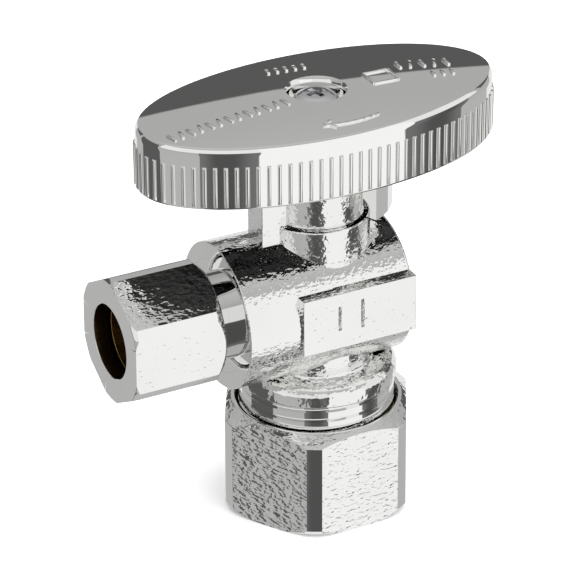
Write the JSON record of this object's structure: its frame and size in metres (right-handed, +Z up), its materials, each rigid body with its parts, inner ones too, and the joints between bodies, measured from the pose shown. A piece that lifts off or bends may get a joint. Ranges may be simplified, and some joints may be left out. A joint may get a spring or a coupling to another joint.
{
  "type": "quarter-turn angle stop valve",
  "caption": "Chrome-plated angle stop valve with an oval ribbed handle, a compression nut on its inlet below and another on its side outlet.",
  "frame": {"origin": "on the valve's upright axis, at the lower face of the inlet nut, where the supply tube enters", "axes": "+Z up the stem axis, -X out of the outlet, -Y out of the flat pad on the body's front"},
  "size_m": [0.0547, 0.026, 0.0589],
  "materials": {
    "forged_chrome": "chrome plate over a forged, lightly pebbled surface, smooth on turned faces",
    "polished_chrome": "bright smooth chrome plate",
    "brass": "turned brass",
    "screw_steel": "plated steel screw",
    "seat_plastic": "white sealing plastic",
    "black_rubber": "black rubber"
  },
  "bodies": {
    "body": {"valve_body": "forged_chrome", "outlet_adapter": "forged_chrome", "adapter_o_ring": "black_rubber", "seat_outlet": "seat_plastic", "seat_back": "seat_plastic", "stem_washer": "seat_plastic"},
    "handle": {"handle": "polished_chrome", "handle_screw": "screw_steel", "stem": "brass", "stem_o_ring_lower": "black_rubber", "stem_o_ring_upper": "black_rubber"},
    "ball": {"ball": "polished_chrome"},
    "inlet_sleeve": {"inlet_sleeve": "brass"},
    "inlet_nut": {"inlet_nut": "forged_chrome"},
    "outlet_sleeve": {"outlet_sleeve": "brass"},
    "outlet_nut": {"outlet_nut": "forged_chrome"}
  },
  "joints": [
    {"name": "handle_turn", "type": "hinge", "parent": "body", "child": "handle", "pos_m": [0, 0, 0.047], "axis": [0, 0, 1], "range_deg": [-90, 0]},
    {"name": "ball_turn", "type": "hinge", "parent": "body", "child": "ball", "pos_m": [0, 0, 0.0298], "axis": [0, 0, 1], "range_deg": [-90, 0]},
    {"name": "inlet_sleeve_slide", "type": "slide", "parent": "body", "child": "inlet_sleeve", "axis": [0, 0, -1], "range_m": [0, 0.0085]},
    {"name": "inlet_nut_turn", "type": "hinge", "parent": "inlet_sleeve", "child": "inlet_nut", "pos_m": [0, 0, 0.007], "axis": [0, 0, -1], "range_deg": [0, 2160]},
    {"name": "outlet_sleeve_slide", "type": "slide", "parent": "body", "child": "outlet_sleeve", "axis": [-1, 0, 0], "range_m": [0, 0.0064]},
    {"name": "outlet_nut_turn", "type": "hinge", "parent": "outlet_sleeve", "child": "outlet_nut", "pos_m": [-0.0235, 0, 0.0298], "axis": [-1, 0, 0], "range_deg": [0, 2160]}
  ],
  "couplings": [
    {"joint": "ball_turn", "follows": "handle_turn", "ratio": 1},
    {"joint": "inlet_sleeve_slide", "follows": "inlet_nut_turn", "m_per_rad": 0.00022457},
    {"joint": "outlet_sleeve_slide", "follows": "outlet_nut_turn", "m_per_rad": 0.00016839}
  ]
}
